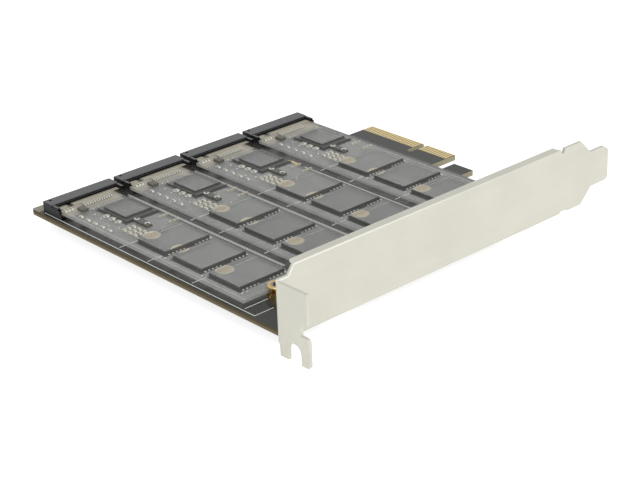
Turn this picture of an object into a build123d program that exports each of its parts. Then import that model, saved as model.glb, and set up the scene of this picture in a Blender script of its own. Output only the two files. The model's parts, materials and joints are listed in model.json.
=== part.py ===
"""Full-height expansion card that carries four plug-in memory modules.

Frame, in millimetres: X runs from the outer face of the slot bracket into the card, Y runs along
the bracket towards its screw tab, and Z points up from the component side of the board. The origin
is on the outer face of the bracket, at the outer surface of the screw tab and at the lower edge of
the bracket's body, so the card lies with its component side up.
"""
import os
from build123d import *

# Slot bracket, one folded sheet
sheet = 0.86
bracket_length = 120.02
body_width = 18.42
tab_reach = 10.57
tab_width = 19.05
tab_drop = 2.54
tab_step = 0.3
tab_corner_radius = 0.9
notch_width = 4.42
notch_centre_reach = 5.5
notch_depth = 4.87
tip_notch_low = 4.5
tip_notch_high = 8.0
tip_notch_depth = 2.7
tongue_width = 10.19
tongue_tip_chamfer_length = 2.0
tongue_tip_chamfer_drop = 1.4
tongue_tip_small_chamfer = 0.9
tongue_root_upper = 112.4
tongue_root_lower = 112.9
shoulder_upper = 108.3
shoulder_lower = 108.7
flange_depth = 2.6
flange_start = 6.6
flange_end = 99.6
relief_start = 100.0
upper_relief_length = 1.7
upper_relief_depth = 1.2
lower_relief_length = 3.2
lower_relief_depth = 0.5
relief_slope = 0.4
bend_radius = 0.35
corner_slope_run = 2.8
fold_gap = 0.9
lug_width = 9.0
lug_reach = 8.4
lug_places = (22.0, 86.0)
lug_hole_reach = 5.6
lug_corner_radius = 1.5

# Bracket screws, driven from the component side
screw_diameter = 3.0
screw_hole_clearance = 0.2
screw_head_diameter = 5.6
screw_head_height = 1.7
screw_head_rim = 0.5
screw_recess_length = 3.1
screw_recess_width = 0.8
screw_recess_depth = 0.8
screw_tip_past_lug = 0.6

# Main board
board_thickness = 1.57
board_seat_gap = 0.09
board_bracket_gap = 0.1
board_past_sockets = 4.2
board_top_inset = 0.95
card_height = 106.65
board_shoulder_rise = 10.4
board_corner_radius = 0.8
stub_near = 33.6
stub_far = 40.8
stub_reach = 5.0

# Edge connector of the main board
key_centre = 57.15
key_width = 1.9
key_depth = 7.4
short_row_length = 11.2
long_row_length = 21.2
short_row_count = 11
long_row_count = 21
contact_pitch = 1.0
contact_width = 0.7
contact_length = 3.9
contact_thickness = 0.05
edge_bevel_length = 0.6
edge_bevel_depth = 0.3
edge_corner_chamfer = 0.5
first_contact_from_key = 1.5

# Places of the four modules
module_count = 4
first_module_line = 12.9
module_pitch = 23.45
module_datum = 95.1

# Sockets for the modules
socket_depth = 8.7
socket_length = 21.9
socket_height = 3.2
socket_wall = 3.8
cover_depth = 4.35
ledge_height = 1.35
arm_height = 2.5
slot_clearance = 0.1
mark_length = 0.8
mark_width = 0.8
mark_depth = 0.25
mark_inset = 1.3
mark_from_back = 0.9
socket_chamfer = 0.3

# Contacts of the sockets
tail_count = 32
tail_pitch = 0.5
tail_width = 0.22
tail_thickness = 0.15
tail_reach = 0.7

# Plug-in modules
module_length = 80.0
module_width = 22.0
module_thickness = 0.8
module_lift = 1.5
module_tongue_width = 19.85
module_tongue_length = 4.0
module_key_offset = 6.125
module_key_width = 1.2
module_key_length = 3.5
module_end_hole_radius = 1.75
module_contact_length = 2.6
module_contact_width = 0.34
module_contact_pitch = 0.5
module_contact_inset = 0.3
key_side_contacts = 5

# Packages on a module
controller_base_length = 13.0
controller_base_width = 10.8
controller_base_height = 0.5
controller_cap_length = 9.6
controller_cap_width = 8.9
controller_height = 1.15
controller_along = 16.8
controller_offset = -2.5
flash_length = 11.6
flash_width = 14.2
flash_height = 1.15
flash_count = 3
flash_gap = 2.85
flash_screw_gap = 2.1
flash_offset = 0.8
package_chamfer = 0.12

# Small parts on a module, lengths along the module first
chip_part_length = 1.0
chip_part_width = 0.5
chip_part_height = 0.45
front_row_count = 12
front_row_pitch = 0.78
front_row_along = 4.8
front_row_first = 3.4
front_part_length = 1.5
corner_group_along = 5.0
corner_group_offset = 7.6
corner_group_count = 3
side_row_count = 3
side_row_pitch = 2.65
side_row_along = 15.8
side_row_offset = 3.9
side_part_width = 0.9
rim_row_count = 5
rim_row_pitch = 3.2
rim_row_along = 11.1
rim_row_offset = 8.8
cluster_columns = 3
cluster_rows = 3
cluster_pitch_along = 2.3
cluster_pitch_across = 1.5
cluster_flash_gap = 3.1
cluster_offset = 3.1
round_part_size = 1.7
round_part_height = 0.7
across_row_count = 3
across_row_pitch = 1.3
across_row_first = -5.4
small_chip_length = 2.6
small_chip_width = 2.0
small_chip_height = 0.8
small_chip_offset = 0.2
switch_along = 7.9
switch_offset = 5.9
dot_length = 0.35
dot_width = 0.45
dot_height = 0.3
dot_pitch = 1.2
dots_in_group = 4
dot_gap_from_flash = 0.55
dot_group_first = 7.2
dot_group_second = -2.6

# Holding-down places of the modules
holding_lengths = (30.0, 42.0, 60.0)
pad_diameter = 4.95
pad_facets = 24
pad_thickness = 0.05
standoff_diameter = 5.5
hold_screw_diameter = 1.9
hold_screw_head_diameter = 5.0
hold_screw_head_height = 0.55
hold_screw_rim = 0.15
hold_screw_recess_width = 0.55
hold_screw_recess_length = 2.4
hold_screw_recess_depth = 0.35
hold_screw_length = 2.1
thread_clearance = 0.05

# Print on the component side
print_thickness = 0.03
print_width = 0.22
border_inset = 1.8
border_start = 10.6
border_end_inset = 5.1
border_corner_length = 6.0
tick_overhang = 0.6
divider_width = 0.9
divider_start = 26.0
divider_end_inset = 7.1
thin_divider_width = 0.3
print_pad_gap = 0.25
ground_strip_length = 4.6
ground_strip_width = 1.1
ground_strip_place = 75.0

# Parts on the solder side
bridge_size = 15.0
bridge_height = 1.2
bridge_place = (62.0, 62.0)
bridge_lid_size = 9.0
bridge_lid_height = 0.25
memory_length = 6.0
memory_width = 5.0
memory_height = 0.8
memory_place = (78.0, 42.0)
crystal_length = 3.2
crystal_width = 2.5
crystal_height = 0.7
crystal_place = (48.0, 54.0)
regulator_size = 3.0
regulator_height = 0.9
power_coil_size = 4.0
power_coil_height = 1.6
power_coil_chamfer = 0.8
power_place = (25.0, 40.0)
power_pitch = 9.0
power_count = 2
filter_count = 8
filter_pitch = 1.27
filter_place = (66.0, 94.0)
filter_length = 1.6
filter_width = 0.8
filter_height = 0.7

# Heights and lines that follow from the values above
board_bottom = sheet + board_seat_gap
board_top = board_bottom + board_thickness
board_near_edge = sheet + board_bracket_gap
socket_back = module_datum + socket_wall
board_far_edge = socket_back + board_past_sockets
finger_tip = board_top_inset + card_height
board_low_edge = finger_tip - board_shoulder_rise
short_row_near = key_centre - key_width / 2 - short_row_length
long_row_far = key_centre + key_width / 2 + long_row_length
tab_top = body_width - tab_drop
tab_bottom = tab_top - tab_width
tongue_bottom = (body_width - tongue_width) / 2
tongue_top = tongue_bottom + tongue_width
module_bottom = board_top + module_lift
module_top = module_bottom + module_thickness
module_end = module_datum - module_length


def slab(points, z_low, height):
    """Solid prism over an outline given as XY points."""
    outline = make_face(Polyline(*points, close=True))
    return extrude(Pos(0, 0, z_low) * outline, height)


def block(x_low, x_high, y_low, y_high, z_low, z_high):
    """Box between two corners."""
    size = (x_high - x_low, y_high - y_low, z_high - z_low)
    centre = ((x_low + x_high) / 2, (y_low + y_high) / 2, (z_low + z_high) / 2)
    return Pos(*centre) * Box(*size)


def post(x, y, diameter, z_low, z_high):
    """Upright round bar between two heights."""
    return Pos(x, y, (z_low + z_high) / 2) * Cylinder(diameter / 2, z_high - z_low)


def module_line(index):
    """Y of a module's centre line."""
    return -(first_module_line + index * module_pitch)


def upright_edges(shape, x_low, x_high, y_low, y_high):
    """Edges along Z whose middle lies inside a window in X and Y."""
    def inside(edge):
        middle = edge.center()
        return x_low <= middle.X <= x_high and y_low <= middle.Y <= y_high
    return [edge for edge in shape.edges().filter_by(Axis.Z) if inside(edge)]


def bracket_plate():
    """Flat outline of the body and tongue, seen along X, as a plate of the sheet's thickness."""
    bend_line = -sheet - bend_radius
    slope_foot = -(flange_start - corner_slope_run)
    points = [
        (bend_line, 0),
        (-shoulder_lower, 0),
        (-tongue_root_lower, tongue_bottom),
        (-bracket_length + tongue_tip_small_chamfer, tongue_bottom),
        (-bracket_length, tongue_bottom + tongue_tip_small_chamfer),
        (-bracket_length, tongue_top - tongue_tip_chamfer_drop),
        (-bracket_length + tongue_tip_chamfer_length, tongue_top),
        (-tongue_root_upper, tongue_top),
        (-shoulder_upper, body_width),
        (-flange_start + fold_gap, body_width),
        (slope_foot, tab_top),
        (bend_line, tab_top),
    ]
    face = make_face(Polyline(*points, close=True))
    return extrude(Plane.YZ * face, sheet)


def bracket_flange(z_low, is_upper):
    """Stiffening flange folded inwards along one long edge of the body."""
    flange = block(0, flange_depth, -flange_end, -flange_start, z_low, z_low + sheet)
    outer_z = body_width if is_upper else 0.0
    fold = [
        edge for edge in flange.edges().filter_by(Axis.Y)
        if abs(edge.center().X) < 0.01 and abs(edge.center().Z - outer_z) < 0.01
    ]
    return fillet(fold, bend_radius)


def bracket_tab():
    """Flat part of the screw tab, with its screw notch and the notch in its tip."""
    upper_reach = tab_reach - tab_step
    points = [
        (-bend_radius, tab_bottom),
        (-tab_reach, tab_bottom),
        (-tab_reach, tip_notch_low),
        (-tab_reach + tip_notch_depth, tip_notch_low),
        (-tab_reach + tip_notch_depth, tip_notch_high),
        (-upper_reach, tip_notch_high),
        (-upper_reach, tab_top),
        (-bend_radius, tab_top),
    ]
    tab = extrude(Plane.XZ * make_face(Polyline(*points, close=True)), sheet)
    notch_mid = tab_bottom + notch_depth - notch_width / 2
    notch = block(-notch_centre_reach - notch_width / 2, -notch_centre_reach + notch_width / 2,
                  -2 * sheet, sheet, tab_bottom - 1, notch_mid)
    notch += Pos(-notch_centre_reach, -sheet / 2, notch_mid) * Rot(90, 0, 0) * Cylinder(
        notch_width / 2, 3 * sheet)
    tab -= notch
    corners = [
        edge for edge in tab.edges().filter_by(Axis.Y)
        if edge.center().X < -upper_reach - tab_step / 2
    ]
    return fillet(corners, tab_corner_radius)


def bracket_bend():
    """Quarter bend that joins the tab to the plate."""
    outer = Pos(-bend_radius, -sheet - bend_radius, tab_top / 2) * Cylinder(bend_radius + sheet, tab_top)
    inner = Pos(-bend_radius, -sheet - bend_radius, tab_top / 2) * Cylinder(bend_radius, tab_top + 1)
    quarter = block(-bend_radius, sheet, -sheet - bend_radius, 0, 0, tab_top)
    return (outer - inner) & quarter


def bracket_relief(length, z_edge, z_floor):
    """Open relief with sloping ends, cut into one long edge beyond a flange."""
    beyond = 2 * z_edge - z_floor
    face = make_face(Polyline(
        (-relief_start + relief_slope, beyond),
        (-relief_start - relief_slope, z_floor),
        (-relief_start - length + relief_slope, z_floor),
        (-relief_start - length - relief_slope, beyond), close=True))
    return extrude(Plane.YZ * face, sheet, both=True)


def make_bracket():
    """Folded sheet bracket: body, tongue, two flanges, lugs and screw tab."""
    plate = bracket_plate()
    shape = plate + bracket_tab() + bracket_bend()
    shape += bracket_flange(body_width - sheet, True)
    shape += bracket_flange(0, False)
    for place in lug_places:
        lug = block(sheet, lug_reach, -place - lug_width / 2, -place + lug_width / 2, 0, sheet)
        corners = upright_edges(lug, lug_reach - 0.1, lug_reach + 0.1, -bracket_length, 0)
        lug = fillet(corners, lug_corner_radius)
        shape += lug
        shape -= post(lug_hole_reach, -place, screw_diameter, -1, sheet + 1)
    shape -= bracket_relief(upper_relief_length, body_width, body_width - upper_relief_depth)
    shape -= bracket_relief(lower_relief_length, 0, lower_relief_depth)
    return shape


def make_bracket_screws():
    """Pan-head screws that hold the board to the bracket's lugs."""
    screws = []
    for place in lug_places:
        shank = post(lug_hole_reach, -place, screw_diameter, -screw_tip_past_lug, board_top)
        head = post(lug_hole_reach, -place, screw_head_diameter, board_top, board_top + screw_head_height)
        top = head.edges().sort_by(Axis.Z)[-1:]
        head = chamfer(top, screw_head_rim)
        recess_low = board_top + screw_head_height - screw_recess_depth
        for turn in (0, 90):
            bar = Box(screw_recess_length, screw_recess_width, 2 * screw_recess_depth)
            head -= Pos(lug_hole_reach, -place, recess_low + screw_recess_depth) * Rot(0, 0, turn) * bar
        screws.append(shank + head)
    return screws


def make_board():
    """Main board with its edge-connector tongue, key notch, stub and screw holes."""
    points = [
        (board_near_edge, -board_top_inset),
        (board_far_edge, -board_top_inset),
        (board_far_edge, -board_low_edge),
        (long_row_far, -board_low_edge),
        (long_row_far, -finger_tip),
        (short_row_near, -finger_tip),
        (short_row_near, -board_low_edge),
        (stub_far, -board_low_edge),
        (stub_far, -board_low_edge - stub_reach),
        (stub_near, -board_low_edge - stub_reach),
        (stub_near, -board_low_edge),
        (board_near_edge, -board_low_edge),
    ]
    board = slab(points, board_bottom, board_thickness)
    far_corners = upright_edges(board, board_far_edge - 0.1, board_far_edge + 0.1, -finger_tip, 0)
    board = fillet(far_corners, board_corner_radius)
    tip_corners = upright_edges(board, short_row_near - 0.1, long_row_far + 0.1,
                                -finger_tip - 0.1, -finger_tip + 0.1)
    board = chamfer(tip_corners, edge_corner_chamfer)
    for z_edge, z_tip in ((board_top, board_top - edge_bevel_depth),
                          (board_bottom, board_bottom + edge_bevel_depth)):
        wedge = make_face(Polyline(
            (-finger_tip - 0.01, z_tip), (-finger_tip + edge_bevel_length, z_edge),
            (-finger_tip - 0.01, z_edge), close=True))
        wedge = extrude(Plane.YZ * wedge, long_row_far - short_row_near + 2)
        board -= Pos(short_row_near - 1, 0, 0) * wedge
    key_top = -finger_tip + key_depth - key_width / 2
    board -= block(key_centre - key_width / 2, key_centre + key_width / 2,
                   -finger_tip - 1, key_top, board_bottom - 1, board_top + 1)
    board -= post(key_centre, key_top, key_width, board_bottom - 1, board_top + 1)
    for place in lug_places:
        board -= post(lug_hole_reach, -place, screw_diameter + screw_hole_clearance,
                      board_bottom - 1, board_top + 1)
    return board


def contact_places():
    """X of every contact of the edge connector."""
    near = [key_centre - first_contact_from_key - step * contact_pitch for step in range(short_row_count)]
    far = [key_centre + first_contact_from_key + step * contact_pitch for step in range(long_row_count)]
    return near + far


def make_edge_contacts(z_low):
    """Gilt contacts on one face of the edge connector."""
    low = -finger_tip + edge_bevel_length
    pads = []
    for x in contact_places():
        pads.append(block(x - contact_width / 2, x + contact_width / 2, low, low + contact_length,
                          z_low, z_low + contact_thickness))
    return pads


def make_print():
    """Lines printed on the component side of the board."""
    low = board_top
    high = board_top + print_thickness
    half = print_width / 2
    lines = block(border_start, board_far_edge - border_end_inset,
                  -border_inset - half, -border_inset + half, low, high)
    lines += block(border_start - half, border_start + half, -border_inset - border_corner_length,
                   -border_inset + half, low, high)
    pieces = [lines]
    for index in range(module_count):
        middle = module_line(index)
        reach = module_width / 2 - tick_overhang
        for length in holding_lengths + (module_length,):
            x = module_datum - length
            tick = block(x - half, x + half, middle - reach, middle + reach, low, high)
            clear = max(pad_diameter, standoff_diameter) / 2 + print_pad_gap
            tick -= block(x - 2 * half, x + 2 * half, middle - clear, middle + clear, low, high)
            pieces.extend(tick.solids())
    for gap in range(module_count - 1):
        middle = module_line(gap) - module_pitch / 2
        width = divider_width if gap < 2 else thin_divider_width
        start = divider_start if gap < 2 else divider_start + width
        end = board_far_edge - divider_end_inset if gap < 2 else ground_strip_place - ground_strip_length
        pieces.append(block(start, end, middle - width / 2, middle + width / 2, low, high))
    return pieces


def make_ground_strip():
    """Bare gilt strip on the board between the last two modules."""
    middle = module_line(module_count - 2) - module_pitch / 2
    return block(ground_strip_place - ground_strip_length / 2, ground_strip_place + ground_strip_length / 2,
                 middle - ground_strip_width / 2, middle + ground_strip_width / 2,
                 board_top, board_top + pad_thickness)


def make_socket(index):
    """Socket housing: cover over the slot, ledge under the module and two end arms."""
    middle = module_line(index)
    front = socket_back - socket_depth
    cover_front = socket_back - cover_depth
    half = socket_length / 2
    slot_half = module_tongue_width / 2 + slot_clearance
    cover = block(cover_front, socket_back, middle - half, middle + half,
                  board_top, board_top + socket_height)
    back_edges = [
        edge for edge in cover.edges().filter_by(Axis.Y)
        if edge.center().Z > board_top + socket_height - 0.01
    ]
    end_edges = [edge for edge in cover.edges().filter_by(Axis.Z) if edge.center().X > cover_front + 1]
    cover = chamfer(back_edges + end_edges, socket_chamfer)
    ledge = block(front, cover_front + 0.01, middle - slot_half, middle + slot_half,
                  board_top, board_top + ledge_height)
    body = cover + ledge
    for side in (-1, 1):
        inner = middle + side * slot_half
        outer = middle + side * half
        arm_front = module_datum - module_tongue_length + slot_clearance
        body += block(arm_front, cover_front + 0.01, min(inner, outer), max(inner, outer),
                      board_top, board_top + arm_height)
        body += block(front, arm_front, min(inner, outer), max(inner, outer),
                      board_top, board_top + ledge_height)
    slot_end = module_datum + slot_clearance
    body -= block(cover_front - 1, slot_end, middle - slot_half, middle + slot_half,
                  module_bottom - slot_clearance, module_top + slot_clearance)
    rib_half = module_key_width / 2 - slot_clearance
    rib_middle = middle + module_key_offset
    body += block(cover_front, slot_end, rib_middle - rib_half, rib_middle + rib_half,
                  module_bottom - slot_clearance, module_top + slot_clearance)
    mark_high = middle + half - mark_inset
    mark_back = socket_back - mark_from_back
    body -= block(mark_back - mark_width, mark_back, mark_high - mark_length, mark_high,
                  board_top + socket_height - mark_depth, board_top + socket_height + 1)
    return body


def make_socket_contacts(index):
    """Solder tails along the back of one socket."""
    middle = module_line(index)
    tails = []
    first = middle - (tail_count - 1) * tail_pitch / 2
    for step in range(tail_count):
        y = first + step * tail_pitch
        tails.append(block(socket_back, socket_back + tail_reach, y - tail_width / 2, y + tail_width / 2,
                           board_top, board_top + tail_thickness))
    return tails


def make_module_board(index):
    """Module board with its narrow tongue, key notch and half-round end hole."""
    middle = module_line(index)
    half = module_width / 2
    tongue_half = module_tongue_width / 2
    shoulder = module_datum - module_tongue_length
    points = [
        (module_datum, middle - tongue_half),
        (module_datum, middle + tongue_half),
        (shoulder, middle + tongue_half),
        (shoulder, middle + half),
        (module_end, middle + half),
        (module_end, middle - half),
        (shoulder, middle - half),
        (shoulder, middle - tongue_half),
    ]
    board = slab(points, module_bottom, module_thickness)
    key_middle = middle + module_key_offset
    key_end = module_datum - module_key_length + module_key_width / 2
    board -= block(key_end, module_datum + 1, key_middle - module_key_width / 2,
                   key_middle + module_key_width / 2, module_bottom - 1, module_top + 1)
    board -= post(key_end, key_middle, module_key_width, module_bottom - 1, module_top + 1)
    board -= post(module_end, middle, 2 * module_end_hole_radius, module_bottom - 1, module_top + 1)
    return board


def module_contact_places(index):
    """Y of the gilt contacts on a module's tongue, leaving out the key notch."""
    middle = module_line(index)
    limit = module_tongue_width / 2 - module_contact_width
    count = int(limit / module_contact_pitch)
    places = []
    for step in range(-count, count + 1):
        offset = step * module_contact_pitch
        if abs(offset - module_key_offset) > module_key_width / 2 + module_contact_width:
            places.append(middle + offset)
    return places


def make_module_contacts(index):
    """Gilt contacts on the upper face of a module's tongue."""
    high_x = module_datum - module_contact_inset
    low_x = high_x - module_contact_length
    pads = []
    for y in module_contact_places(index):
        pads.append(block(low_x, high_x, y - module_contact_width / 2, y + module_contact_width / 2,
                          module_top, module_top + contact_thickness))
    return pads


def chip_part(along, offset, index, length, width, height):
    """Rectangular part soldered to a module."""
    x = module_datum - along
    y = module_line(index) + offset
    return block(x - length / 2, x + length / 2, y - width / 2, y + width / 2,
                 module_top, module_top + height)


def package(along, offset, index, length, width, height):
    """Flat moulded package on a module, with its upper rim eased."""
    body = chip_part(along, offset, index, length, width, height)
    return chamfer(body.faces().sort_by(Axis.Z)[-1].edges(), package_chamfer)


def make_controller(index):
    """Controller package of a module: a wide base with its moulded cap."""
    base = chip_part(controller_along, controller_offset, index, controller_base_length,
                     controller_base_width, controller_base_height)
    cap = package(controller_along, controller_offset, index, controller_cap_length,
                  controller_cap_width, controller_height)
    return base + cap


def flash_along(step):
    """Distance of a memory package from the module's datum, counted back from the holding screw."""
    last = module_length - hold_screw_head_diameter / 2 - flash_screw_gap - flash_length / 2
    return last - (flash_count - 1 - step) * (flash_length + flash_gap)


def cluster_along(column):
    """Distance of a column of the capacitor cluster from the module's datum."""
    last = flash_along(0) - flash_length / 2 - cluster_flash_gap - chip_part_length / 2
    return last - (cluster_columns - 1 - column) * cluster_pitch_along


def make_flash(index, step):
    """One memory package of a module."""
    return package(flash_along(step), flash_offset, index, flash_length, flash_width, flash_height)


def make_module_capacitors(index):
    """Pale chip capacitors of a module, in rows and in a cluster."""
    parts = []
    for step in range(front_row_count):
        parts.append(chip_part(front_row_along, front_row_first - step * front_row_pitch, index,
                               front_part_length, chip_part_width, chip_part_height))
    for step in range(corner_group_count):
        parts.append(chip_part(corner_group_along, corner_group_offset + step * chip_part_length, index,
                               chip_part_length, chip_part_width, chip_part_height))
    for step in range(side_row_count):
        parts.append(chip_part(side_row_along + step * side_row_pitch, side_row_offset, index,
                               chip_part_length, side_part_width, chip_part_height))
    for step in range(rim_row_count):
        parts.append(chip_part(rim_row_along + step * rim_row_pitch, rim_row_offset, index,
                               chip_part_length, chip_part_width, chip_part_height))
    for column in range(cluster_columns):
        for row in range(cluster_rows):
            offset = cluster_offset + row * cluster_pitch_across
            parts.append(chip_part(cluster_along(column), offset, index, chip_part_length, chip_part_length,
                                   chip_part_height))
        for step in range(across_row_count):
            if column != 1:
                offset = across_row_first - step * across_row_pitch
                parts.append(chip_part(cluster_along(column), offset, index, chip_part_width,
                                       chip_part_length, chip_part_height))
    return parts


def make_module_terminals(index):
    """Rows of small bright terminals beside the memory packages."""
    dots = []
    for step in range(flash_count):
        along = flash_along(step) + flash_length / 2 + dot_gap_from_flash
        for first in (dot_group_first, dot_group_second):
            for dot in range(dots_in_group):
                dots.append(chip_part(along, first - dot * dot_pitch, index,
                                      dot_length, dot_width, dot_height))
    return dots


def make_module_small_chips(index):
    """Supply switch with a coil on each side of it, and the switch chip by the tongue."""
    middle = cluster_along(0)
    apart = (small_chip_length + round_part_size) / 2 + package_chamfer
    parts = [
        chip_part(middle, small_chip_offset, index, small_chip_length, small_chip_width, small_chip_height),
        chip_part(switch_along, switch_offset, index, small_chip_length, small_chip_width,
                  small_chip_height),
    ]
    for side in (-1, 1):
        parts.append(chip_part(middle + side * apart, small_chip_offset, index, round_part_size,
                               round_part_size, round_part_height))
    return parts


def make_holding_pads():
    """Plated pads at the holding lengths that the modules don't use."""
    pads = []
    for index in range(module_count):
        for length in holding_lengths:
            outline = RegularPolygon(pad_diameter / 2, pad_facets)
            pads.append(extrude(Pos(module_datum - length, module_line(index), board_top) * outline,
                                pad_thickness))
    return pads


def make_standoff(index):
    """Turned standoff soldered to the board under the end of one module."""
    y = module_line(index)
    bore = hold_screw_diameter + 2 * thread_clearance
    return (post(module_end, y, standoff_diameter, board_top, module_bottom)
            - post(module_end, y, bore, board_top - 1, module_bottom + 1))


def make_hold_screws():
    """Flat-headed screws that hold the ends of the modules down."""
    screws = []
    for index in range(module_count):
        y = module_line(index)
        shank = post(module_end, y, hold_screw_diameter, module_top - hold_screw_length, module_top)
        head = post(module_end, y, hold_screw_head_diameter, module_top, module_top + hold_screw_head_height)
        head = chamfer(head.edges().sort_by(Axis.Z)[-1:], hold_screw_rim)
        recess_middle = module_top + hold_screw_head_height
        for turn in (0, 90):
            bar = Box(hold_screw_recess_length, hold_screw_recess_width, 2 * hold_screw_recess_depth)
            head -= Pos(module_end, y, recess_middle) * Rot(0, 0, turn) * bar
        screws.append(shank + head)
    return screws


def under_board(place, length, width, height):
    """Block soldered to the lower face of the board."""
    x, y = place
    return block(x - length / 2, x + length / 2, -y - width / 2, -y + width / 2,
                 board_bottom - height, board_bottom)


def make_bridge():
    """Drive controller package on the solder side, with its raised lid."""
    body = under_board(bridge_place, bridge_size, bridge_size, bridge_height - bridge_lid_height)
    lid = under_board(bridge_place, bridge_lid_size, bridge_lid_size, bridge_height)
    return body + lid


def power_stage_place(step):
    """Middle of a supply stage on the solder side."""
    return (power_place[0], power_place[1] + step * power_pitch)


def make_power_coils():
    """Supply coils on the solder side."""
    coils = []
    for step in range(power_count):
        coil = under_board(power_stage_place(step), power_coil_size, power_coil_size, power_coil_height)
        coils.append(chamfer(coil.edges().filter_by(Axis.Z), power_coil_chamfer))
    return coils


def make_regulators():
    """Supply regulators beside the coils."""
    chips = []
    for step in range(power_count):
        x, y = power_stage_place(step)
        spot = (x + power_coil_size + regulator_size / 2, y)
        chips.append(under_board(spot, regulator_size, regulator_size, regulator_height))
    return chips


def make_line_capacitors():
    """Coupling capacitors behind the edge connector, on the solder side."""
    parts = []
    for step in range(filter_count):
        spot = (filter_place[0] + step * filter_pitch, filter_place[1])
        parts.append(under_board(spot, filter_width, filter_length, filter_height))
    return parts


def save(name, pieces):
    """Write one named piece, or a group of separate solids, to its own file."""
    shapes = pieces if isinstance(pieces, list) else [pieces]
    solids = [solid for shape in shapes for solid in shape.solids()]
    result = solids[0] if len(solids) == 1 else Compound(children=solids)
    result.label = name
    export_step(result, os.path.join("parts", name + ".step"))


def main():
    """Build every piece of the card and write it out."""
    os.makedirs("parts", exist_ok=True)
    save("bracket", make_bracket())
    save("bracket_screws", make_bracket_screws())
    save("main_board", make_board())
    save("edge_contacts_upper", make_edge_contacts(board_top))
    save("edge_contacts_lower", make_edge_contacts(board_bottom - contact_thickness))
    save("board_print", make_print())
    save("ground_strip", make_ground_strip())
    save("holding_pads", make_holding_pads())
    save("holding_screws", make_hold_screws())
    for index in range(module_count):
        number = str(index + 1)
        save("socket_" + number, make_socket(index))
        save("socket_contacts_" + number, make_socket_contacts(index))
        save("module_board_" + number, make_module_board(index))
        save("module_contacts_" + number, make_module_contacts(index))
        save("module_controller_" + number, make_controller(index))
        save("module_capacitors_" + number, make_module_capacitors(index))
        save("module_terminals_" + number, make_module_terminals(index))
        save("module_small_chips_" + number, make_module_small_chips(index))
        save("module_flash_" + number, [make_flash(index, step) for step in range(flash_count)])
        save("standoff_" + number, make_standoff(index))
    save("drive_controller", make_bridge())
    save("setup_memory", under_board(memory_place, memory_length, memory_width, memory_height))
    save("clock_crystal", under_board(crystal_place, crystal_length, crystal_width, crystal_height))
    save("supply_coils", make_power_coils())
    save("supply_regulators", make_regulators())
    save("line_capacitors", make_line_capacitors())


main()
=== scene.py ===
"""Look of a full-height expansion card with four see-through memory modules.

Lengths are in metres and in the model's own frame: X runs from the bracket's outer face into the
card, Y along the bracket towards its screw tab, Z up from the component side of the board.
"""

import json
import logging
import math
from dataclasses import dataclass, field
from enum import Enum

import bpy
from mathutils import Matrix, Vector

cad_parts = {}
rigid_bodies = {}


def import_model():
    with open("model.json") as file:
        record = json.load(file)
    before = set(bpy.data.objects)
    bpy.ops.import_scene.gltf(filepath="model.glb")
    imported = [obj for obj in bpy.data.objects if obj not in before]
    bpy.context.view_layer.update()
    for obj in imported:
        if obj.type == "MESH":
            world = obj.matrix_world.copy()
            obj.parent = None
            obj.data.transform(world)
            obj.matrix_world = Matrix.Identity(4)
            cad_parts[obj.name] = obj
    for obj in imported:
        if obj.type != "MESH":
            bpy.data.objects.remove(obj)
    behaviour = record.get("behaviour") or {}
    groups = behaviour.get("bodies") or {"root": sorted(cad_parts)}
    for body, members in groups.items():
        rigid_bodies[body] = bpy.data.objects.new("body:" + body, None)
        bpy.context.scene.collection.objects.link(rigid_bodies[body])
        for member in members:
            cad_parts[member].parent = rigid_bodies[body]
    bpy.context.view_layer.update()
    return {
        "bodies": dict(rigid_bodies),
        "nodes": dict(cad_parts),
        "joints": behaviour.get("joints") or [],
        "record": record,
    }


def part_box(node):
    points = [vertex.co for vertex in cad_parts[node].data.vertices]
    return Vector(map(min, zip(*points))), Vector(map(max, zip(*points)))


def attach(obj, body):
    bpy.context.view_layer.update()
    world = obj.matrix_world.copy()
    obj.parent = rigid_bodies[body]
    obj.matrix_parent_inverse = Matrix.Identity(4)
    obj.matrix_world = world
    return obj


LOG = logging.getLogger("card")
MM = 0.001
Colour = tuple[float, float, float]
Triple = tuple[float, float, float]
Spot = tuple[Vector, float]
Socket = bpy.types.NodeSocket
Piece = bpy.types.Object
Dressing = dict[str, bpy.types.Material]
MODULE_COUNT = 4
MODULE_PITCH = 23.45 * MM
FIRST_LINE = 12.9 * MM
MODULE_LINES = tuple(-(FIRST_LINE + index * MODULE_PITCH) for index in range(MODULE_COUNT))
# Depth of the finest grain of a surface.
FINE_GRAIN = 0.01 * MM
# A face looks along an axis when more than this share of its normal lies on it.
FACING = 0.5
# Edges that turn by more than this are sharp.
SHARP = math.radians(40)


class Rim(Enum):
    """How the near long edge of a module looks."""

    ON_TOP = "pale line on the upper face"
    ON_SIDE = "pale side face"


@dataclass(frozen=True)
class ModulePlace:
    """Where things lie on one plug-in module."""

    index: int
    datum: float = 95.1 * MM
    top: float = 4.82 * MM

    @property
    def line(self) -> float:
        """Y of the module's centre line."""
        return MODULE_LINES[self.index]

    def called(self, what: str) -> str:
        """Name a piece of this module."""
        return what + "_" + str(self.index + 1)

    def at(self, along: float, offset: float, height: float = 0.0) -> Vector:
        """Give a point on the module.

        Args:
            along: Millimetres back from the end that is in the socket.
            offset: Millimetres from the centre line, towards the screw tab.
            height: Millimetres above the module's upper face.

        Returns:
            The point in the model's frame.
        """
        return Vector((self.datum - along * MM, self.line + offset * MM, self.top + height * MM))


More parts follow.
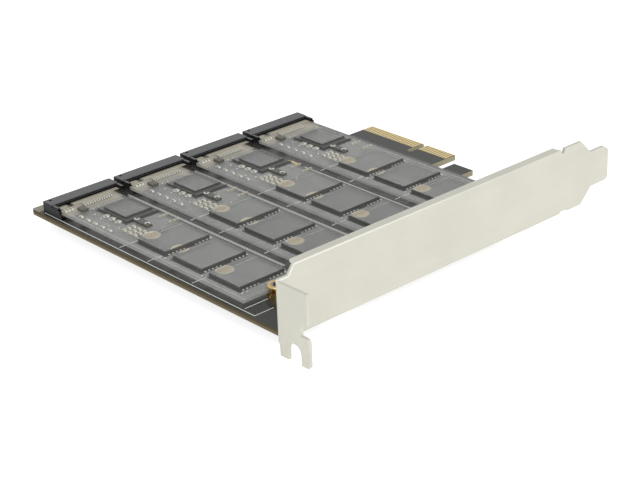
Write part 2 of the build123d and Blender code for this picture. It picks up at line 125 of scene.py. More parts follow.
class NodeChain:
    """A material's node tree with short calls for the nodes that the finishes share."""

    def __init__(self, name: str) -> None:
        """Make an empty material with a Principled shader.

        Args:
            name: Name of the material.
        """
        self.material = bpy.data.materials.new(name)
        self.material.use_nodes = True
        self.tree = self.material.node_tree
        self.shader = self.tree.nodes["Principled BSDF"]
        self._place = self.tree.nodes.new("ShaderNodeTexCoord").outputs["Object"]
        self._split = None

    def set(self, **values: float | tuple[float, ...]) -> "NodeChain":
        """Set constant values on the shader's own sockets.

        Args:
            values: Socket names with underscores for spaces, and their values.

        Returns:
            This chain.
        """
        for key, value in values.items():
            self.shader.inputs[key.replace("_", " ")].default_value = value
        return self

    def new(self, kind: str, **settings: object) -> bpy.types.Node:
        """Add a node and set its plain properties.

        Args:
            kind: Class name of the node.
            settings: Properties of the node.

        Returns:
            The node.
        """
        node = self.tree.nodes.new(kind)
        for key, value in settings.items():
            setattr(node, key, value)
        return node

    def feed(self, socket: Socket, value: object) -> None:
        """Link an output to a socket, or set the socket where the value is a number or colour."""
        if isinstance(value, Socket):
            self.tree.links.new(value, socket)
        else:
            socket.default_value = value

    def math(self, operation: str, *values: object, clamp: bool = False) -> Socket:
        """Work out one number from others.

        Args:
            operation: Name of the sum.
            values: Numbers or outputs that go in.
            clamp: Whether the result is kept between 0 and 1.

        Returns:
            The result's output.
        """
        node = self.new("ShaderNodeMath", operation=operation, use_clamp=clamp)
        for socket, value in zip(node.inputs, values):
            self.feed(socket, value)
        return node.outputs[0]

    def times(self, first: object, second: object) -> Socket:
        """Give the product of two values."""
        return self.math("MULTIPLY", first, second)

    def minus(self, first: object, second: object) -> Socket:
        """Give the first value less the second."""
        return self.math("SUBTRACT", first, second)

    def above(self, value: object, limit: float) -> Socket:
        """Give 1 where a value is above a limit."""
        return self.math("GREATER_THAN", value, limit)

    def below(self, value: object, limit: float) -> Socket:
        """Give 1 where a value is below a limit."""
        return self.math("LESS_THAN", value, limit)

    def size(self, value: object) -> Socket:
        """Give a value without its sign."""
        return self.math("ABSOLUTE", value)

    def axis(self, letter: str) -> Socket:
        """Give one coordinate of the surface, in metres in the model's frame."""
        if self._split is None:
            self._split = self.new("ShaderNodeSeparateXYZ")
            self.feed(self._split.inputs[0], self._place)
        return self._split.outputs[letter]

    def normal(self, letter: str) -> Socket:
        """Give one part of the face's own direction."""
        node = self.new("ShaderNodeSeparateXYZ")
        self.feed(node.inputs[0], self.new("ShaderNodeNewGeometry").outputs["True Normal"])
        return node.outputs[letter]

    def noise(self, scale: float, detail: float = 3.0,
              stretch: Triple = (1.0, 1.0, 1.0)) -> Socket:
        """Give soft noise.

        Args:
            scale: Cells per metre.
            detail: How many finer layers it has.
            stretch: Factor on the scale along each axis.

        Returns:
            The noise's value.
        """
        place = self.new("ShaderNodeMapping")
        self.feed(place.inputs["Vector"], self._place)
        place.inputs["Scale"].default_value = stretch
        node = self.new("ShaderNodeTexNoise")
        self.feed(node.inputs["Vector"], place.outputs[0])
        node.inputs["Scale"].default_value = scale
        node.inputs["Detail"].default_value = detail
        return node.outputs["Fac"]

    def span(self, value: object, low: float, high: float,
             soft: float = 0.02 * MM) -> Socket:
        """Give 1 where a value lies between two limits and 0 elsewhere.

        Args:
            value: Output that is tested.
            low: Lower limit.
            high: Upper limit.
            soft: Half of the width over which it fades.

        Returns:
            The mask's output.
        """
        middle, half = (low + high) / 2, (high - low) / 2
        away = self.size(self.minus(value, middle))
        return self.math("DIVIDE", self.minus(half + soft, away), 2 * soft, clamp=True)

    def ramp(self, value: object, low: float, high: float,
             out_low: float = 0.0, out_high: float = 1.0) -> Socket:
        """Map a value from one range to another, kept inside it.

        Args:
            value: Output that is mapped.
            low: Value that gives out_low.
            high: Value that gives out_high.
            out_low: Result at the low end.
            out_high: Result at the high end.

        Returns:
            The result's output.
        """
        node = self.new("ShaderNodeMapRange")
        for socket, number in zip(node.inputs, (value, low, high, out_low, out_high)):
            self.feed(socket, number)
        return node.outputs[0]

    def mix(self, amount: object, first: object, second: object) -> Socket:
        """Mix two colours.

        Args:
            amount: Share of the second colour.
            first: Colour or output.
            second: Colour or output.

        Returns:
            The mixed colour's output.
        """
        node = self.new("ShaderNodeMix", data_type="RGBA")
        self.feed(node.inputs[0], amount)
        for socket, value in ((node.inputs[6], first), (node.inputs[7], second)):
            self.feed(socket, value if isinstance(value, Socket) else (*value, 1.0))
        return node.outputs[2]

    def nearest(self, letter: str, places: tuple[float, ...]) -> Socket:
        """Give the distance to the nearest of several places along one axis."""
        best = self.size(self.minus(self.axis(letter), places[0]))
        for place in places[1:]:
            away = self.size(self.minus(self.axis(letter), place))
            best = self.math("MINIMUM", best, away)
        return best

    def offset(self) -> Socket:
        """Give the distance to the nearest module's centre line, positive towards the tab."""
        border = MODULE_LINES[0] - MODULE_PITCH / 2
        turns = self.math("DIVIDE", self.minus(self.axis("Y"), border), MODULE_PITCH)
        share = self.minus(self.math("FRACT", turns), 0.5)
        return self.times(share, MODULE_PITCH)

    def radius(self, columns: tuple[float, ...], rows: tuple[float, ...]) -> Socket:
        """Give the distance, seen from above, to the nearest crossing of columns and rows.

        Args:
            columns: Places along X.
            rows: Places along Y.

        Returns:
            The distance in metres.
        """
        across, along = self.nearest("X", columns), self.nearest("Y", rows)
        square = self.math("ADD", self.times(across, across), self.times(along, along))
        return self.math("SQRT", square)

    def top_mask(self) -> Socket:
        """Give 1 on faces that look up."""
        return self.above(self.normal("Z"), FACING)

    def bottom_mask(self) -> Socket:
        """Give 1 on faces that look down."""
        return self.below(self.normal("Z"), -FACING)

    def outer_side(self) -> Socket:
        """Give 1 on the outer side of a wall and 0 on its inner side."""
        return self.minus(1.0, self.new("ShaderNodeNewGeometry").outputs["Backfacing"])

    def bump(self, height: object, strength: float, depth: float) -> None:
        """Raise the surface a little where a height says.

        Args:
            height: Output with the height.
            strength: Share of the effect.
            depth: Real height in metres.
        """
        node = self.new("ShaderNodeBump")
        node.inputs["Strength"].default_value = strength
        node.inputs["Distance"].default_value = depth
        self.feed(node.inputs["Height"], height)
        self.feed(self.shader.inputs["Normal"], node.outputs[0])

    def colour(self, value: object) -> None:
        """Send a colour to the shader."""
        if not isinstance(value, Socket):
            value = (*value, 1.0)
        self.feed(self.shader.inputs["Base Color"], value)

    def rough(self, value: object) -> None:
        """Send a roughness to the shader."""
        self.feed(self.shader.inputs["Roughness"], value)

    def worn(self, grain: object, low: float, high: float) -> None:
        """Let the roughness follow a grain, from a low to a high value."""
        self.rough(self.ramp(grain, 0.3, 0.7, low, high))

    def gloss(self, value: object) -> None:
        """Send the strength of the mirror reflection to the shader."""
        self.feed(self.shader.inputs["Specular IOR Level"], value)

    def alpha(self, value: object) -> None:
        """Send an opacity to the shader."""
        self.feed(self.shader.inputs["Alpha"], value)


@dataclass(frozen=True)
class PlatedSheet:
    """Nickel-plated sheet with a fine rolled grain and a painted highlight along its long upper
    fold.
    """

    name: str = "plated_sheet"
    colour: Colour = (0.69, 0.68, 0.595)
    shade: Colour = (0.61, 0.60, 0.52)
    painted_highlight: Colour = (0.93, 0.915, 0.83)
    highlight_full_at: float = -20.0 * MM
    highlight_gone_at: float = -80.0 * MM
    fold_level: float = 18.42 * MM
    neck_level: float = 15.88 * MM
    slope_start: float = -5.7 * MM
    slope_run: float = 1.9 * MM
    fold_inner: float = 0.15 * MM
    fold_outer: float = 0.45 * MM
    grain_depth: float = 0.02 * MM
    roughness: float = 0.42
    metallic: float = 0.55

    def make(self) -> bpy.types.Material:
        """Build the material."""
        chain = NodeChain(self.name).set(Metallic=self.metallic)
        cloud = chain.noise(60.0, 4.0)
        grain = chain.noise(900.0, 2.0, (1.0, 0.04, 1.0))
        plating = chain.mix(chain.ramp(cloud, 0.35, 0.7, 0.0, 0.5), self.colour, self.shade)
        # Painted highlight on the fold, full near the tab and fading to nothing farther along Y.
        near = chain.ramp(chain.axis("Y"), self.highlight_gone_at, self.highlight_full_at)
        fold_highlight = chain.times(self.fold(chain), near)
        chain.colour(chain.mix(fold_highlight, plating, self.painted_highlight))
        chain.worn(grain, self.roughness - 0.06, self.roughness + 0.08)
        chain.bump(grain, 0.12, self.grain_depth)
        return chain.material

    def fold(self, chain: NodeChain) -> Socket:
        """Give 1 on the fold and on the slope that runs down from it, and 0 inside them: this is
        where the highlight is painted.

        Args:
            chain: Material that the mask belongs to.

        Returns:
            The mask's output.
        """
        rise = self.fold_level - self.neck_level
        length = math.hypot(self.slope_run, rise)
        depth = chain.minus(self.fold_level, chain.axis("Z"))
        past = chain.minus(chain.axis("Y"), self.slope_start)
        slant = chain.minus(chain.times(depth, self.slope_run / length),
                            chain.times(past, rise / length))
        neck = chain.minus(self.neck_level, chain.axis("Z"))
        inside = chain.math("MAXIMUM", chain.math("MINIMUM", depth, slant), neck)
        away = chain.math("MAXIMUM", inside, chain.size(chain.axis("X")))
        return chain.ramp(away, self.fold_inner, self.fold_outer, 1.0, 0.0)


@dataclass(frozen=True)
class BareMetal:
    """Plain or plated metal of one colour with faint turning marks."""

    name: str
    colour: Colour
    shade: Colour
    roughness: float = 0.3
    grain: float = 2500.0
    metallic: float = 1.0

    def make(self) -> bpy.types.Material:
        """Build the material."""
        chain = NodeChain(self.name).set(Metallic=self.metallic)
        marks = chain.noise(self.grain, 2.0)
        chain.colour(chain.mix(chain.ramp(marks, 0.3, 0.75, 0.0, 0.7), self.colour, self.shade))
        chain.worn(marks, self.roughness - 0.05, self.roughness + 0.1)
        chain.bump(marks, 0.15, FINE_GRAIN)
        return chain.material


@dataclass(frozen=True)
class BoardLacquer:
    """Near-black lacquered laminate with faint tracks, bare behind the sockets and at the edges."""

    name: str = "board_lacquer"
    face: Colour = (0.037, 0.041, 0.036)
    track: Colour = (0.042, 0.0445, 0.0375)
    edge: Colour = (0.27, 0.215, 0.125)
    edge_dark: Colour = (0.105, 0.088, 0.050)
    edge_pale: Colour = (0.50, 0.46, 0.32)
    bare: Colour = (0.30, 0.285, 0.21)
    bare_from: float = 99.6 * MM
    middle: float = 1.65 * MM
    roughness: float = 0.22
    edge_roughness: float = 0.7
    track_pitch: float = 1.6 * MM
    track_share: float = 0.16
    track_depth: float = 0.02 * MM
    layer_wander: float = 0.6 * MM
    layer_fade: float = 0.4 * MM
    bare_fade: float = 0.1 * MM

    def make(self) -> bpy.types.Material:
        """Build the material."""
        chain = NodeChain(self.name)
        flat = chain.above(chain.size(chain.normal("Z")), FACING)
        cell = chain.size(chain.minus(chain.math(
            "FRACT", chain.math("DIVIDE", chain.axis("Y"), self.track_pitch)), 0.5))
        gate = chain.ramp(chain.noise(70.0, 1.0, (0.5, 2.0, 1.0)), 0.5, 0.53)
        line = chain.times(chain.below(cell, self.track_share), gate)
        bare = chain.ramp(chain.axis("X"), self.bare_from, self.bare_from + self.bare_fade)
        face = chain.mix(bare, chain.mix(line, self.face, self.track), self.bare)
        layers = chain.minus(chain.noise(1500.0, 2.0, (0.15, 0.15, 4.0)), 0.5)
        level = chain.math("ADD", chain.axis("Z"), chain.times(layers, self.layer_wander))
        low = chain.ramp(level, self.middle - self.layer_fade, self.middle + self.layer_fade,
                         1.0, 0.0)
        front = chain.below(chain.normal("X"), -FACING)
        edge = chain.mix(front, chain.mix(low, self.edge_dark, self.edge), self.edge_pale)
        chain.colour(chain.mix(flat, edge, face))
        chain.rough(chain.ramp(flat, 0.0, 1.0, self.edge_roughness, self.roughness))
        chain.gloss(0.2)
        chain.bump(line, 0.25, self.track_depth)
        return chain.material


@dataclass(frozen=True)
class Moulding:
    """Moulded plastic with a fine grain."""

    name: str
    colour: Colour
    shade: Colour
    roughness: float = 0.5
    grain: float = 3000.0

    def make(self) -> bpy.types.Material:
        """Build the material."""
        chain = NodeChain(self.name)
        fine = chain.noise(self.grain, 2.0)
        chain.colour(chain.mix(chain.ramp(fine, 0.3, 0.7), self.colour, self.shade))
        chain.worn(fine, self.roughness - 0.05, self.roughness + 0.05)
        chain.bump(fine, 0.2, FINE_GRAIN)
        return chain.material


@dataclass(frozen=True)
class SocketMoulding:
    """Moulded socket body, black below and in front, with painted light: grey on the top of its
    cover and a little lighter on its ends.
    """

    name: str = "socket_moulding"
    painted_lit_top: Colour = (0.105, 0.108, 0.11)
    body: Colour = (0.003, 0.003, 0.0035)
    # Painted light: the end faces are a little lighter than the black body.
    end: Colour = (0.03, 0.03, 0.032)
    cover_level: float = 5.5 * MM
    roughness: float = 0.45

    def make(self) -> bpy.types.Material:
        """Build the material."""
        chain = NodeChain(self.name)
        high = chain.above(chain.axis("Z"), self.cover_level)
        up = chain.times(chain.top_mask(), high)
        ends = chain.above(chain.size(chain.normal("Y")), FACING)
        fine = chain.noise(2500.0, 2.0)
        # Painted light: the cover's top faces are grey and the end faces lighter than the black
        # body.
        chain.colour(chain.mix(up, chain.mix(ends, self.body, self.end), self.painted_lit_top))
        chain.worn(fine, self.roughness - 0.05, self.roughness + 0.05)
        chain.gloss(chain.ramp(up, 0.0, 1.0, 0.12, 0.5))
        chain.bump(fine, 0.2, FINE_GRAIN)
        return chain.material


@dataclass(frozen=True)
class ClearPackage:
    """Package of a module: a veiled clear top on walls painted dark as shade, which only show from
    outside.

    The ledge round the controller's cap is clear on the two sides that have no painted shadow bars.
    """

    name: str = "module_package"
    top: Colour = (0.185, 0.19, 0.185)
    painted_shade_wall: Colour = (0.098, 0.10, 0.095)
    top_alpha: float = 0.35
    wall_alpha: float = 0.94
    ledge_level: float = 5.45 * MM
    open_ledge_level: float = 5.25 * MM
    cap_end: float = 82.7 * MM
    cap_side: float = -6.9 * MM
    roughness: float = 0.35

    def make(self) -> bpy.types.Material:
        """Build the material."""
        chain = NodeChain(self.name)
        high = chain.above(chain.axis("Z"), self.ledge_level)
        bar_free = chain.math("MAXIMUM", chain.above(chain.axis("X"), self.cap_end),
                         chain.below(chain.offset(), self.cap_side))
        raised = chain.above(chain.axis("Z"), self.open_ledge_level)
        ledge = chain.times(bar_free, raised)
        up = chain.times(chain.top_mask(), chain.math("MAXIMUM", high, ledge))
        cloud = chain.noise(400.0, 3.0)
        # Painted shade: the walls are darker than the top of the same moulding.
        chain.colour(chain.mix(up, self.painted_shade_wall, self.top))
        shown = chain.times(chain.outer_side(), chain.minus(1.0, chain.bottom_mask()))
        solid = chain.ramp(up, 0.0, 1.0, self.wall_alpha, self.top_alpha)
        chain.alpha(chain.times(solid, shown))
        chain.worn(cloud, self.roughness - 0.05, self.roughness + 0.05)
        chain.gloss(0.25)
        return chain.material


@dataclass(frozen=True)
class Laminate:
    """See-through module board: a pale veil with clear long rims and a cream contact end.

    Lengths are in millimetres from the module's centre line, or back from its contact end.
    """

    place: ModulePlace
    rim: Rim
    clear_low: float
    clear_high: float = 11.2
    veil: Colour = (0.72, 0.725, 0.70)
    cloud: Colour = (0.62, 0.63, 0.62)
    cream: Colour = (0.66, 0.62, 0.52)
    pale: Colour = (0.60, 0.61, 0.58)
    shadow: Colour = (0.1, 0.1, 0.1)
    far_lines: tuple[float, ...] = ()
    far_line_half: float = 0.2
    alpha: float = 0.255
    clear_alpha: float = 0.03
    side_alpha: float = 0.62
    end_alpha: float = 0.4
    cream_end: float = 7.6
    shadow_width: float = 0.42
    rim_width: float = 0.9

    @property
    def name(self) -> str:
        """Name of the material."""
        return self.place.called("module_laminate")

    def make(self) -> bpy.types.Material:
        """Build the material."""
        chain = NodeChain(self.name)
        offset = chain.minus(chain.axis("Y"), self.place.line)
        along = chain.minus(self.place.datum, chain.axis("X"))
        up = chain.top_mask()
        veiled = chain.span(offset, self.clear_low * MM, self.clear_high * MM)
        front = chain.below(along, self.cream_end * MM)
        dark = chain.span(offset, self.clear_low * MM, (self.clear_low + self.shadow_width) * MM)
        if self.rim is Rim.ON_TOP:
            line = chain.span(offset, (self.clear_high - self.rim_width) * MM, self.clear_high * MM)
            side = self.clear_alpha
        else:
            line = 0.0
            near = chain.above(chain.normal("Y"), FACING)
            side = chain.times(near, self.side_alpha)
        mottle = chain.ramp(chain.noise(350.0, 4.0), 0.4, 0.65)
        face = chain.mix(front, chain.mix(mottle, self.veil, self.cloud), self.cream)
        face = chain.mix(chain.times(dark, 0.75), face, self.shadow)
        chain.colour(chain.mix(up, self.pale, face))
        body = chain.ramp(veiled, 0.0, 1.0, self.clear_alpha, self.alpha)
        streaks = [(chain.times(front, veiled), 0.5), (dark, 0.45), (line, 0.40)]
        for middle in self.far_lines:
            streak = chain.span(offset, (middle - self.far_line_half) * MM,
                                (middle + self.far_line_half) * MM, 0.06 * MM)
            streaks.append((streak, 0.45))
        for mask, strength in streaks:
            body = chain.math("MAXIMUM", body, chain.times(mask, strength))
        end = chain.below(chain.normal("X"), -FACING)
        end = chain.times(end, self.end_alpha)
        walls = chain.times(chain.math("MAXIMUM", side, end), chain.outer_side())
        steep = chain.minus(1.0, chain.size(chain.normal("Z")))
        chain.alpha(chain.math("ADD", chain.times(body, up), chain.times(walls, steep),
                               clamp=True))
        chain.rough(chain.ramp(mottle, 0.0, 1.0, 0.4, 0.5))
        chain.gloss(0.25)
        return chain.material


@dataclass(frozen=True)
class PlatedPad:
    """Plated pad with a paler outer ring, one at each unused holding place."""

    name: str = "plated_pad"
    ring: Colour = (0.80, 0.70, 0.44)
    centre: Colour = (0.78, 0.58, 0.25)
    centre_radius: float = 1.75 * MM
    fade: float = 0.15 * MM
    columns: tuple[float, ...] = (65.1 * MM, 53.1 * MM, 35.1 * MM)

    def make(self) -> bpy.types.Material:
        """Build the material."""
        chain = NodeChain(self.name)
        radius = chain.radius(self.columns, MODULE_LINES)
        outer = chain.ramp(radius, self.centre_radius - self.fade, self.centre_radius + self.fade)
        chain.colour(chain.mix(outer, self.centre, self.ring))
        chain.worn(chain.noise(2500.0), 0.35, 0.5)
        return chain.material


@dataclass(frozen=True)
class TurnedHead:
    """Brass screw head with painted shade on the chamfer round its driver recess and in the recess.
    """

    name: str = "turned_head"
    brass: Colour = (0.72, 0.50, 0.20)
    painted_chamfer_shade: Colour = (0.36, 0.32, 0.24)
    painted_recess_shade: Colour = (0.012, 0.011, 0.010)
    recess_radius: float = 1.0 * MM
    chamfer_radius: float = 1.7 * MM
    column: float = 15.1 * MM
    top_level: float = 5.0 * MM
    fade: float = 0.12 * MM

    def make(self) -> bpy.types.Material:
        """Build the material."""
        chain = NodeChain(self.name)
        radius = chain.radius((self.column,), MODULE_LINES)
        up = chain.above(chain.axis("Z"), self.top_level)
        hole, cone = (chain.times(up, chain.ramp(
            radius, size - self.fade, size + self.fade, 1.0, 0.0))
                      for size in (self.recess_radius, self.chamfer_radius))
        # Painted shade: the chamfer darker and the recess near-black and not metallic.
        chain.colour(chain.mix(hole, chain.mix(cone, self.brass, self.painted_chamfer_shade), self.painted_recess_shade))
        chain.feed(chain.shader.inputs["Metallic"], chain.ramp(hole, 0.0, 1.0, 1.0, 0.0))
        marks = chain.noise(1800.0, 2.0)
        chain.worn(marks, 0.18, 0.32)
        chain.bump(marks, 0.15, FINE_GRAIN)
        return chain.material


@dataclass(frozen=True)
class Print:
    """Printed ink, hatched like rope on the two wide dividers."""

    name: str = "board_print_ink"
    ink: Colour = (0.88, 0.88, 0.84)
    rope: Colour = (0.52, 0.50, 0.48)
    gap: Colour = (0.36, 0.345, 0.335)
    hatch_pitch: float = 1.1 * MM
    dividers: tuple[float, float] = (-24.625 * MM, -48.075 * MM)
    half_width: float = 0.5 * MM

    def make(self) -> bpy.types.Material:
        """Build the material."""
        chain = NodeChain(self.name)
        near = chain.math("MAXIMUM", *(
            chain.span(chain.axis("Y"), row - self.half_width, row + self.half_width)
            for row in self.dividers))
        slant = chain.math("ADD", chain.axis("X"), chain.axis("Y"))
        wave = chain.math("FRACT", chain.math("DIVIDE", slant, self.hatch_pitch))
        hatch = chain.times(chain.above(wave, 0.6), near)
        chain.colour(chain.mix(hatch, chain.mix(near, self.ink, self.rope), self.gap))
        chain.worn(chain.noise(3000.0), 0.45, 0.6)
        return chain.material


@dataclass
class Finishes:
    """Every finish of the card, with the CAD nodes that wear it."""

    worn: dict[str, str] = field(default_factory=dict)
    by_name: Dressing = field(default_factory=dict)

    def dress(self, nodes: dict[str, Piece]) -> None:
        """Give each CAD node its finish.

        Args:
            nodes: CAD nodes by name.
        """
        table = {
            PlatedSheet(): ("bracket",),
            BareMetal("screw_plate", (0.62, 0.60, 0.55), (0.45, 0.43, 0.39), 0.28): (
                "bracket_screws",),
            BoardLacquer(): ("main_board",),
            BareMetal("gold_plate", (0.90, 0.72, 0.36), (0.80, 0.61, 0.27), 0.24): (
                "edge_contacts_upper", "edge_contacts_lower", "ground_strip"),
            BareMetal("pale_contact", (0.62, 0.58, 0.46), (0.50, 0.46, 0.36), 0.4,
                      metallic=0.2): ("module_contacts",),
            Print(): ("board_print",),
            PlatedPad(): ("holding_pads",),
            BareMetal("turned_brass", (0.72, 0.50, 0.20), (0.50, 0.33, 0.12), 0.22,
                      grain=1800.0): ("standoff",),
            TurnedHead(): ("holding_screws",),
            BareMetal("tinned_tail", (0.66, 0.62, 0.52), (0.5, 0.47, 0.4), 0.35): (
                "socket_contacts",),
            SocketMoulding(): ("socket",),
            Laminate(ModulePlace(0), Rim.ON_TOP, -8.0, 10.5): ("module_board_1",),
            Laminate(ModulePlace(1), Rim.ON_SIDE, -8.0): ("module_board_2",),
            Laminate(ModulePlace(2), Rim.ON_SIDE, -8.0): ("module_board_3",),
            Laminate(ModulePlace(3), Rim.ON_SIDE, -10.2, far_lines=(-8.5, -10.0)): (
                "module_board_4",),
            ClearPackage(): ("module_controller", "module_flash"),
            Moulding("small_chip", (0.10, 0.095, 0.085), (0.16, 0.15, 0.13)): (
                "module_small_chips",),
            Moulding("chip_ceramic", (0.50, 0.47, 0.38), (0.62, 0.59, 0.50)): (
                "module_capacitors", "line_capacitors"),
            BareMetal("module_solder", (0.84, 0.86, 0.82), (0.66, 0.68, 0.65), 0.35,
                      metallic=0.15): ("module_terminals",),
            Moulding("package_moulding", (0.018, 0.018, 0.019), (0.03, 0.03, 0.031)): (
                "drive_controller", "setup_memory", "supply_regulators"),
            BareMetal("drawn_can", (0.72, 0.71, 0.69), (0.6, 0.59, 0.57), 0.25): (
                "clock_crystal",),
            Moulding("coil_ferrite", (0.06, 0.06, 0.062), (0.09, 0.09, 0.092), 0.7): (
                "supply_coils",),
        }
        for finish, wanted in table.items():
            material = finish.make()
            for name, piece in nodes.items():
                if name in wanted or name.rstrip("_1234") in wanted:
                    piece.data.materials.clear()
                    piece.data.materials.append(material)
                    self.worn[name] = finish.name
                    self.by_name[finish.name] = material
                    LOG.info("%s wears %s", name, finish.name)
        for name in nodes:
            if name not in self.worn:
                LOG.warning("%s has no finish", name)

    @staticmethod
    def soften(piece: Piece, width: float = 0.22 * MM,
               reach: float = 0.002 * MM) -> None:
        """Round the sharp edges of a CAD node a little, as tumbling does to sheet metal.

        Args:
            piece: The node.
            width: Width of the rounding in metres.
            reach: Distance within which corners of faces are joined first.
        """
        weld = piece.modifiers.new("welded_faces", "WELD")
        weld.merge_threshold = reach
        soft = piece.modifiers.new("tumbled_edges", "BEVEL")
        soft.width = width
        soft.segments = 2
        soft.limit_method = "ANGLE"
        soft.angle_limit = SHARP
        LOG.info("%s has softened edges", piece.name)


class Bench:
    """Tools that model one mesh and repeat it."""

    @staticmethod
    def clear() -> None:
        """Leave edit mode and deselect everything."""
        if bpy.context.object is not None and bpy.context.object.mode != "OBJECT":
            bpy.ops.object.mode_set(mode="OBJECT")
        bpy.ops.object.select_all(action="DESELECT")

    @staticmethod
    def edit(action: str = "SELECT") -> None:
        """Open the piece at hand for editing, with all of it selected or none."""
        bpy.ops.object.mode_set(mode="EDIT")
        bpy.ops.mesh.select_all(action=action)

    @staticmethod
    def close(turn_out: bool = False) -> None:
        """End the editing, and turn every face outwards first if asked."""
        if turn_out:
            bpy.ops.mesh.select_all(action="SELECT")
            bpy.ops.mesh.normals_make_consistent(inside=False)
        bpy.ops.object.mode_set(mode="OBJECT")

    @staticmethod
    def settle(name: str) -> Piece:
        """Name the piece at hand and put its origin and axes back on the frame's."""
        piece = bpy.context.object
        piece.name = name
        piece.data.name = name
        bpy.ops.object.transform_apply(location=True, rotation=True, scale=True)
        return piece

    @staticmethod
    def block(name: str, size: Triple, place: Triple, ease: float = 0.0) -> Piece:
        """Model a box with eased edges.

        Args:
            name: Name of the piece.
            size: Its size in metres.
            place: Its middle.
            ease: Width of the eased edges.

        Returns:
            The piece.
        """
        Bench.clear()
        bpy.ops.mesh.primitive_cube_add(size=1.0, location=place)
        bpy.context.object.scale = size
        piece = Bench.settle(name)
        if ease:
            Bench.edit()
            bpy.ops.mesh.bevel(offset=ease, segments=2)
            Bench.close()
        return piece

    @staticmethod
    def bead(name: str, size: Triple) -> Piece:
        """Model a small bead of solder at the origin, cut flat a quarter of its height up.

        Args:
            name: Name of the piece.
            size: Its size in metres before the cut.

        Returns:
            The piece.
        """
        Bench.clear()
        bpy.ops.mesh.primitive_uv_sphere_add(segments=12, ring_count=8, radius=0.5)
        bpy.context.object.scale = size
        piece = Bench.settle(name)
        Bench.edit()
        bpy.ops.mesh.bisect(plane_co=(0, 0, -size[2] / 4), plane_no=(0, 0, -1), use_fill=True,
                            clear_outer=True)
        Bench.close(turn_out=True)
        bpy.ops.object.shade_smooth_by_angle(angle=SHARP)
        return piece

    @staticmethod
    def arc(name: str, radius: float, wire: float, sweep: float) -> Piece:
        """Model a bent piece of round wire that lies on the origin's plane.

        Args:
            name: Name of the piece.
            radius: Radius of the bend.
            wire: Radius of the wire.
            sweep: Angle of the bend in radians.

        Returns:
            The piece, open towards +X.
        """
        Bench.clear()
        bpy.ops.mesh.primitive_circle_add(vertices=8, radius=wire, fill_type="NGON",
                                          location=(radius, 0, wire), rotation=(math.pi / 2, 0, 0))
        Bench.settle(name)
        Bench.edit()
        bpy.ops.mesh.spin(steps=16, angle=sweep, center=(0, 0, 0), axis=(0, 0, 1))
        Bench.close(turn_out=True)
        bpy.context.object.rotation_euler = (0, 0, math.pi - sweep / 2)
        return Bench.settle(name)

    @staticmethod
    def disc(name: str, radius: float, height: float) -> Piece:
        """Model a thin plated rim round a hole, middle on the origin.

        Args:
            name: Name of the piece.
            radius: Outer radius.
            height: Thickness of the rim.

        Returns:
            The piece, sunk in the middle on its lower side.
        """
        Bench.clear()
        bpy.ops.mesh.primitive_cylinder_add(vertices=20, radius=radius, depth=height)
        piece = Bench.settle(name)
        for face in piece.data.polygons:
            face.select = face.normal.z < -FACING
        bpy.ops.object.mode_set(mode="EDIT")
        bpy.ops.mesh.select_mode(type="FACE")
        bpy.ops.mesh.inset(thickness=radius * 0.5)
        bpy.ops.transform.translate(value=(0, 0, height * 0.6))
        bpy.ops.mesh.select_mode(type="VERT")
        bpy.ops.object.mode_set(mode="OBJECT")
        return piece

    @staticmethod
    def wedge(name: str, size: Triple) -> Piece:
        """Model a solder fillet at the origin that slopes down towards +X.

        Args:
            name: Name of the piece.
            size: Its size in metres.

        Returns:
            The piece, standing on the origin's plane.
        """
        piece = Bench.block(name, size, (0, 0, size[2] / 2))
        Bench.edit("DESELECT")
        Bench.close()
        for edge in piece.data.edges:
            ends = [piece.data.vertices[v].co for v in edge.vertices]
            edge.select = all(end.x > 0 and end.z > size[2] / 2 for end in ends)
        bpy.ops.object.mode_set(mode="EDIT")
        bpy.ops.mesh.select_mode(type="EDGE")
        bpy.ops.transform.translate(value=(0, 0, -size[2] * 0.75))
        bpy.ops.mesh.select_mode(type="VERT")
        bpy.ops.object.mode_set(mode="OBJECT")
        return piece

    @staticmethod
    def repeat(first: Piece, name: str, places: list[Spot]) -> Piece:
        """Copy a piece to several places and join the copies.

        Args:
            first: The piece, modelled at the origin; it is used up.
            name: Name of the joined piece.
            places: Where each copy goes, and its turn about Z in radians.

        Returns:
            The joined piece.
        """
        twins = []
        for place, turn in places:
            twin = first.copy()
            twin.data = first.data.copy()
            bpy.context.scene.collection.objects.link(twin)
            twin.location = place
            twin.rotation_euler = (0, 0, turn)
            twins.append(twin)
        bpy.data.objects.remove(first)
        return Bench.join(name, twins)

    @staticmethod
    def join(name: str, pieces: list[Piece]) -> Piece:
        """Join pieces into one.

        Args:
            name: Name of the joined piece.
            pieces: The pieces, each with its own mesh.

        Returns:
            The joined piece.
        """
        Bench.clear()
        for piece in pieces:
            piece.select_set(True)
        bpy.context.view_layer.objects.active = pieces[0]
        bpy.ops.object.transform_apply(location=True, rotation=True, scale=True)
        if len(pieces) > 1:
            bpy.ops.object.join()
        return Bench.settle(name)

    @staticmethod
    def hand_over(piece: Piece, material: bpy.types.Material, slot: str) -> None:
        """Dress a finished piece and fix it to the card."""
        piece.data.materials.clear()
        piece.data.materials.append(material)
        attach(piece, "root")
        LOG.info("%s: %d faces", piece.name, len(piece.data.polygons))


@dataclass(frozen=True)
class PartRow:
    """Straight row of chip parts on a module, in millimetres along and across it."""

    along: float
    offset: float
    count: int
    length: float = 1.0
    step_along: float = 0.0
    step_offset: float = 0.0

    def parts(self) -> list[Triple]:
        """Give place along, offset and length of each part."""
        return [(self.along + step * self.step_along, self.offset + step * self.step_offset,
                 self.length) for step in range(self.count)]


